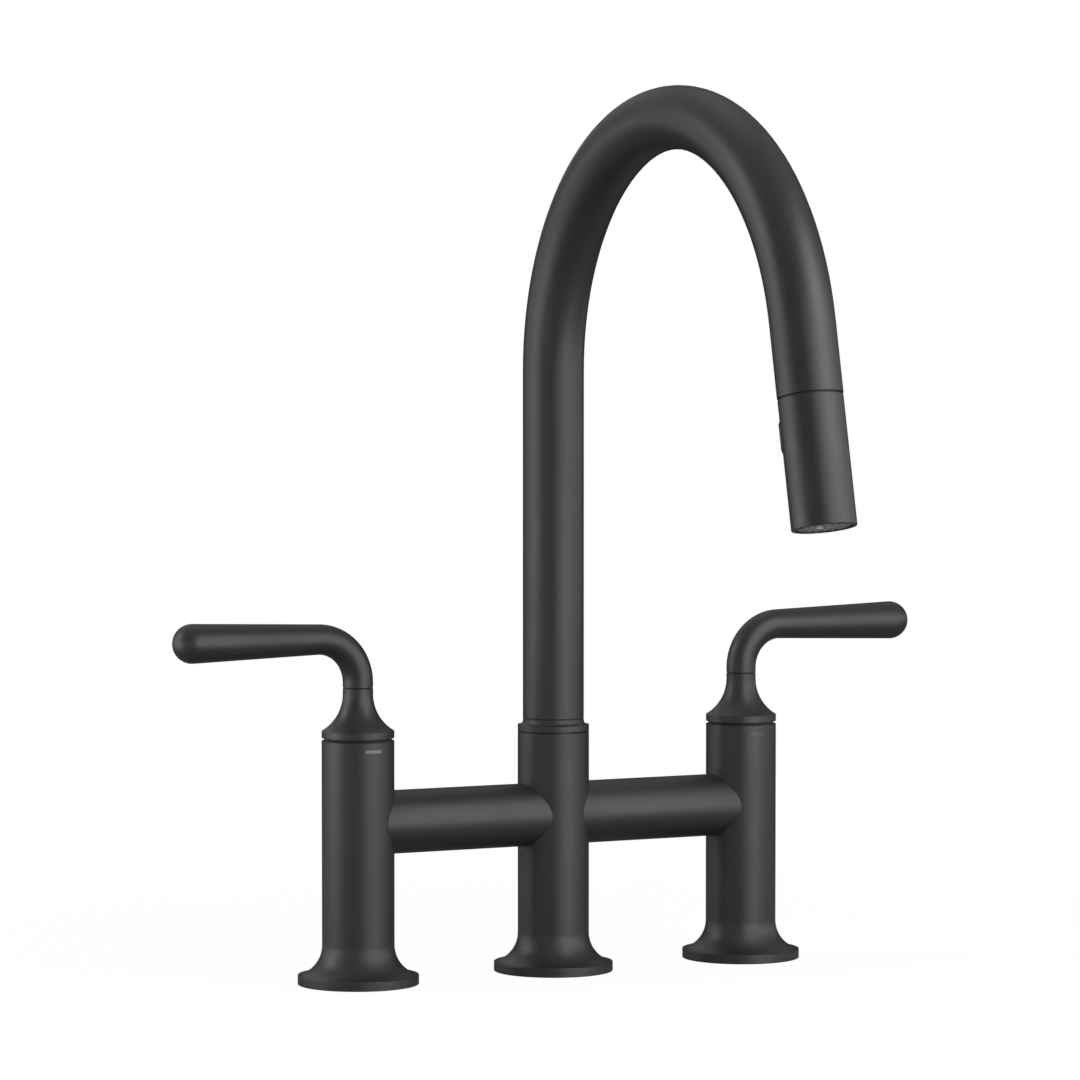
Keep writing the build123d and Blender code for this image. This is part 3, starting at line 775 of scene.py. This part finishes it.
        # Matte paint, rolled on: it throws a soft, even light up at the faucet's undersides.
        material, tree = empty_tree("matte_pale_grey_paint")
        place = add_node(tree, "ShaderNodeTexCoord", {})
        far = add_node(
            tree, "ShaderNodeVectorMath", {0: place.outputs["Object"]}, operation="LENGTH"
        )
        path = add_node(tree, "ShaderNodeLightPath", {})
        # The camera sees a white just under full strength, and enough of the lit paint on top
        # of it to keep the faucet's shadow. Away from the faucet only the white is left.
        shares = []
        for near in (self.white_near, self.paint_hidden):
            share = add_node(
                tree,
                "ShaderNodeMapRange",
                {0: far.outputs["Value"], 1: self.white_from, 2: self.white_by, 3: near, 4: 1.0},
                interpolation_type="SMOOTHSTEP",
            )
            shares.append(
                add_node(
                    tree,
                    "ShaderNodeMath",
                    {0: share.outputs[0], 1: path.outputs["Is Camera Ray"]},
                    operation="MULTIPLY",
                )
            )
        white_share, hidden_share = shares
        paint = add_node(
            tree,
            "ShaderNodeBsdfPrincipled",
            {"Base Color": linear(self.table_paint), "Roughness": self.table_roughness},
        )
        dimmed = add_node(
            tree, "ShaderNodeMixShader", {0: hidden_share.outputs[0], 1: paint.outputs[0]}
        )
        white = add_node(tree, "ShaderNodeEmission", {"Strength": white_share.outputs[0]})
        surface = add_node(
            tree, "ShaderNodeAddShader", {0: dimmed.outputs[0], 1: white.outputs[0]}
        )
        add_node(tree, "ShaderNodeOutputMaterial", {"Surface": surface.outputs[0]})
        mesh.materials.append(material)

    def build(self) -> None:
        """Sets up the whole studio."""
        bpy.context.scene.view_settings.view_transform = "Standard"
        self.set_camera()
        self.hang_backdrop()
        self.lay_floor()
        for softbox in self.softboxes:
            softbox.hang(self.aim)


# -------------------------------------------------------------------------------- sub-assemblies


class Side(Enum):
    """The two valve legs, by the word that their pieces' names end in."""

    HOT = "left"
    COLD = "right"


@dataclass
class ValveLeg:
    """One side leg: column, quarter-turn valve, hub and lever."""

    side: Side

    def named(self, *kinds: str) -> list[str]:
        """Names of this leg's pieces of the given kinds."""
        return [f"{kind}_{self.side.value}" for kind in kinds]

    def dress(self) -> list[str]:
        """Gives each of the leg's pieces its finish.

        Returns:
            The names of the dressed pieces.
        """
        enamel = LIGHT_ENAMEL if self.side is Side.HOT else DARK_ENAMEL
        return (
            dress(BAKED_COAT, *self.named("column", "lever_hub", "lever"))
            + dress(TURNED_BRASS, *self.named("cartridge", "spindle", "clamp_nut"))
            + dress(LAPPED_ALUMINA, *self.named("fixed_disc", "turning_disc"))
            + dress(NITRILE_RUBBER, *self.named("foot_gasket", "cartridge_seals"))
            + dress(GLIDE_PLASTIC_WITH_GAP_SHADE, *self.named("glide_ring"))
            + dress(STAINLESS_STEEL, *self.named("grub_screw"))
            + dress(enamel, *self.named("index_mark"))
        )


@dataclass
class Bridge:
    """The pipes that join the legs, with the water tubes inside them."""

    def dress(self) -> list[str]:
        """Gives each of the bridge's pieces its finish.

        Returns:
            The names of the dressed pieces.
        """
        sides = [side.value for side in Side]
        return (
            dress(BAKED_COAT, *(f"bridge_pipe_{side}" for side in sides))
            + dress(TURNED_BRASS, *(f"bridge_conduit_{side}" for side in sides))
            + dress(NITRILE_RUBBER, *(f"bridge_seals_{side}" for side in sides))
        )


@dataclass
class CentreLeg:
    """The centre column with the manifold that mixes hot and cold."""

    def dress(self) -> list[str]:
        """Gives each of the leg's pieces its finish.

        Returns:
            The names of the dressed pieces.
        """
        return (
            dress(BAKED_COAT, "centre_column")
            + dress(TURNED_BRASS, "mixer_manifold")
            + dress(NITRILE_RUBBER, "foot_gasket_centre", "manifold_seals")
        )


@dataclass
class SwivelSpout:
    """The arched tube with its turning joint and the dock in its mouth."""

    def dress(self) -> list[str]:
        """Gives each of the spout's pieces its finish.

        Returns:
            The names of the dressed pieces.
        """
        return (
            dress(BAKED_COAT, "spout_tube", "spout_collar")
            + dress(TURNED_BRASS, "spout_journal")
            + dress(BEARING_PLASTIC, "spout_bushes", "dock_sleeve")
            + dress(STAINLESS_STEEL, "retaining_ring")
            + dress(NICKELLED_MAGNET, "dock_magnet")
        )


def make_tube(
    name: str, sections: list[list[Vector]], closed: bool, spots: list[list[tuple[float, float]]]
) -> bpy.types.Object:
    """Skins rings of points into one smooth tube.

    Its texture coordinates are called braid, after the finish that reads them.

    Args:
        name: the object's name.
        sections: the rings, each with the same number of points, in order along the tube.
        closed: whether the last ring joins the first; otherwise both ends are capped.
        spots: for each ring, the texture coordinates of its points, and once more for the first
            point, where the seam closes.

    Returns:
        The tube's object, linked to the scene.
    """
    sides = len(sections[0])
    points = [point for section in sections for point in section]
    faces, laid = [], []
    for ring in range(len(sections) if closed else len(sections) - 1):
        after = (ring + 1) % len(sections)
        for side in range(sides):
            beyond = (side + 1) % sides
            faces.append(
                (
                    ring * sides + side,
                    ring * sides + beyond,
                    after * sides + beyond,
                    after * sides + side,
                )
            )
            laid += [
                spots[ring][side],
                spots[ring][side + 1],
                spots[after][side + 1],
                spots[after][side],
            ]
    if not closed:
        last = len(points) - sides
        faces += [tuple(reversed(range(sides))), tuple(range(last, last + sides))]
        laid += [(0.0, 0.0)] * (2 * sides)
    mesh = bpy.data.meshes.new(name)
    mesh.from_pydata(points, [], faces)
    layer = mesh.uv_layers.new(name="braid")
    layer.data.foreach_set("uv", [number for spot in laid for number in spot])
    mesh.polygons.foreach_set("use_smooth", [True] * len(faces))
    tube = bpy.data.objects.new(name, mesh)
    bpy.context.scene.collection.objects.link(tube)
    return tube


@dataclass
class PulloutHose:
    """The braided hose, which pays out of the spout's mouth as the head is pulled down.

    Its run inside the spout stays put. The tail in the outlet is packed with close rings, which
    lie between pay_from and pay_to beyond the arch. The braid's coordinates are laid for the
    longer run that these rings would cover once spread out over the pull.
    """

    outer_r: float = 5.0 * MM
    inner_r: float = 3.3 * MM
    start_z: float = 15.0 * MM
    arch_start_z: float = 276.77 * MM
    arch_r: float = 112.68 * MM
    arch_angle: float = math.radians(168.0)
    end_run: float = 19.7 * MM
    pay_from: float = 0.3 * MM
    pay_to: float = 10.4 * MM
    pull: float = 0.19
    sides: int = 40
    coarse_step: float = 4.0 * MM
    paying_rings: int = 120
    end_rings: int = 6

    @property
    def outlet(self) -> float:
        """Distance along the hose at which the arch ends."""
        return self.arch_start_z - self.start_z + self.arch_r * self.arch_angle

    def centre_at(self, along: float) -> tuple[Vector, Vector]:
        """Follows the hose's centreline.

        Args:
            along: the distance from the hose's lower end, in metres.

        Returns:
            The point there and the direction in which the hose runs.
        """
        rise = self.arch_start_z - self.start_z
        if along <= rise:
            return Vector((0.0, 0.0, self.start_z + along)), Vector((0.0, 0.0, 1.0))
        angle = min(along, self.outlet) / self.arch_r - rise / self.arch_r
        place = Vector(
            (
                0.0,
                self.arch_r * (math.cos(angle) - 1),
                self.arch_start_z + self.arch_r * math.sin(angle),
            )
        )
        heading = Vector((0.0, -math.sin(angle), math.cos(angle)))
        return place + heading * max(0.0, along - self.outlet), heading

    def laid_length(self, along: float) -> float:
        """Length along the hose once it is pulled out, for the braid's coordinates.

        Args:
            along: the distance from the hose's lower end while the head is docked.

        Returns:
            The same ring's distance with the head pulled right down.
        """
        share = (along - self.outlet - self.pay_from) / (self.pay_to - self.pay_from)
        share = min(1.0, max(0.0, share))
        # A smooth step across the packed rings.
        return along + self.pull * share * share * (3 - 2 * share)

    def make_piece(self, name: str, stations: list[float]) -> bpy.types.Object:
        """Makes one length of the hose as a closed pipe.

        Args:
            name: the piece's name.
            stations: the distances along the hose at which it has rings.

        Returns:
            The piece's object, in its finish and in the place of the solid hose.
        """
        width = 2 * math.pi * self.outer_r / self.sides
        turns = [2 * math.pi * side / self.sides for side in range(self.sides)]
        across = Vector((1.0, 0.0, 0.0))
        walk = [(self.outer_r, along) for along in stations]
        walk += [(self.inner_r, along) for along in reversed(stations)]
        sections, spots = [], []
        for radius, along in walk:
            centre, heading = self.centre_at(along)
            beside = heading.cross(across)
            sections.append(
                [
                    centre + radius * (math.cos(turn) * across + math.sin(turn) * beside)
                    for turn in turns
                ]
            )
            length = self.laid_length(along)
            spots.append([(side * width, length) for side in range(self.sides + 1)])
        piece = make_tube(name, sections, True, spots)
        piece.data.materials.append(HOSE_BRAID.material())
        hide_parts("spray_hose")
        return piece

    def build(self) -> list[bpy.types.Object]:
        """Builds the run that stays in the spout and the tail that pays out.

        Returns:
            The two pieces' objects.
        """
        rings = round(self.outlet / self.coarse_step)
        run = self.make_piece("hose_run", np.linspace(0, self.outlet, rings).tolist())
        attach(run, "spout")
        first, last = self.outlet + self.pay_from, self.outlet + self.pay_to
        packed = np.linspace(first, last, self.paying_rings, endpoint=False)
        after = np.linspace(last, self.outlet + self.end_run, self.end_rings)
        tail = self.make_piece("hose_tail", [self.outlet, *packed.tolist(), *after.tolist()])
        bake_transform(tail)
        return [run, tail]

    def dress(self) -> list[str]:
        """Gives the hose's fittings their finish.

        Returns:
            The names of the dressed pieces.
        """
        return dress(TURNED_BRASS, "hose_coupling", "hose_nut")


@dataclass
class ReturnSpring:
    """The open coil behind the spray button, which shortens as the button is pressed in.

    It stands square on the head's axis, button_run below the spout's mouth and seat_out from
    the axis. The travel is the button's, and is not used.
    """

    mouth: Vector = field(default_factory=lambda: Vector((0.0, -0.229488, 0.26919)))
    outlet: Vector = field(default_factory=lambda: Vector((0.0, -0.207912, -0.978148)))
    button_run: float = 15.7 * MM
    seat_out: float = 8.0 * MM
    lift: float = 0.25 * MM
    coil_r: float = 3.4 * MM
    wire_r: float = 0.2 * MM
    height: float = 2.9 * MM
    travel: float = 1.5 * MM
    turns: int = 3
    steps_per_turn: int = 40
    sides: int = 12

    def build(self) -> bpy.types.Object:
        """Winds the spring.

        Returns:
            The spring's object.
        """
        across = Vector((1.0, 0.0, 0.0))
        outward = across.cross(self.outlet)
        seat = self.mouth + self.outlet * self.button_run + outward * self.seat_out
        base = seat + outward * self.lift
        steps = self.turns * self.steps_per_turn
        angles = [2 * math.pi * side / self.sides for side in range(self.sides)]
        sections = []
        for step in range(steps + 1):
            turn = 2 * math.pi * step / self.steps_per_turn
            radial = math.cos(turn) * across + math.sin(turn) * self.outlet
            tangent = math.cos(turn) * self.outlet - math.sin(turn) * across
            centre = base + radial * self.coil_r + outward * (self.height * step / steps)
            beside = tangent.cross(radial)
            sections.append(
                [
                    centre + self.wire_r * (math.cos(angle) * radial + math.sin(angle) * beside)
                    for angle in angles
                ]
            )
        plain = [[(0.0, 0.0)] * (self.sides + 1)] * len(sections)
        spring = make_tube("return_spring", sections, False, plain)
        spring.data.materials.append(STAINLESS_STEEL.material())
        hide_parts("button_spring")
        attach(spring, "spray_head")
        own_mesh(spring)
        return spring


@dataclass
class SprayHead:
    """The pull-out head with its button, waterway and spray face."""

    def dress(self) -> list[str]:
        """Gives each of the head's pieces its finish.

        Returns:
            The names of the dressed pieces.
        """
        return (
            dress(HEAD_COAT, "head_shell")
            + dress(BUTTON_PLASTIC, "spray_button")
            + dress(BEARING_PLASTIC, "dock_collar", "head_waterway", "face_ring")
            + dress(BLACKENED_STEEL_WITH_SEAM_SHADE, "keeper_ring")
            + dress(TURNED_BRASS, "check_valve")
            + dress(NITRILE_RUBBER, "head_seals")
            + dress(SILICONE_NOZZLES, "spray_nozzles")
            + dress(BLASTED_PLATE, "spray_plate", "aerator")
        )


# ------------------------------------------------------------------------------------------ main


def main() -> None:
    """Builds the studio and the sub-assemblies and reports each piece."""
    logging.basicConfig(level=logging.INFO, format="%(name)s: %(message)s")
    Studio().build()
    hose = PulloutHose()
    for piece in (*hose.build(), ReturnSpring().build()):
        log.info("%s, built with %d vertices", piece.name, len(piece.data.vertices))
    assemblies = {
        "hot leg": ValveLeg(Side.HOT),
        "cold leg": ValveLeg(Side.COLD),
        "bridge": Bridge(),
        "centre leg": CentreLeg(),
        "swivel spout": SwivelSpout(),
        "pull-out hose": hose,
        "spray head": SprayHead(),
    }
    for name, assembly in assemblies.items():
        for piece_name in assembly.dress():
            log.info("%s, dressed in the %s", piece_name, name)


if __name__ == "__main__":
    main()
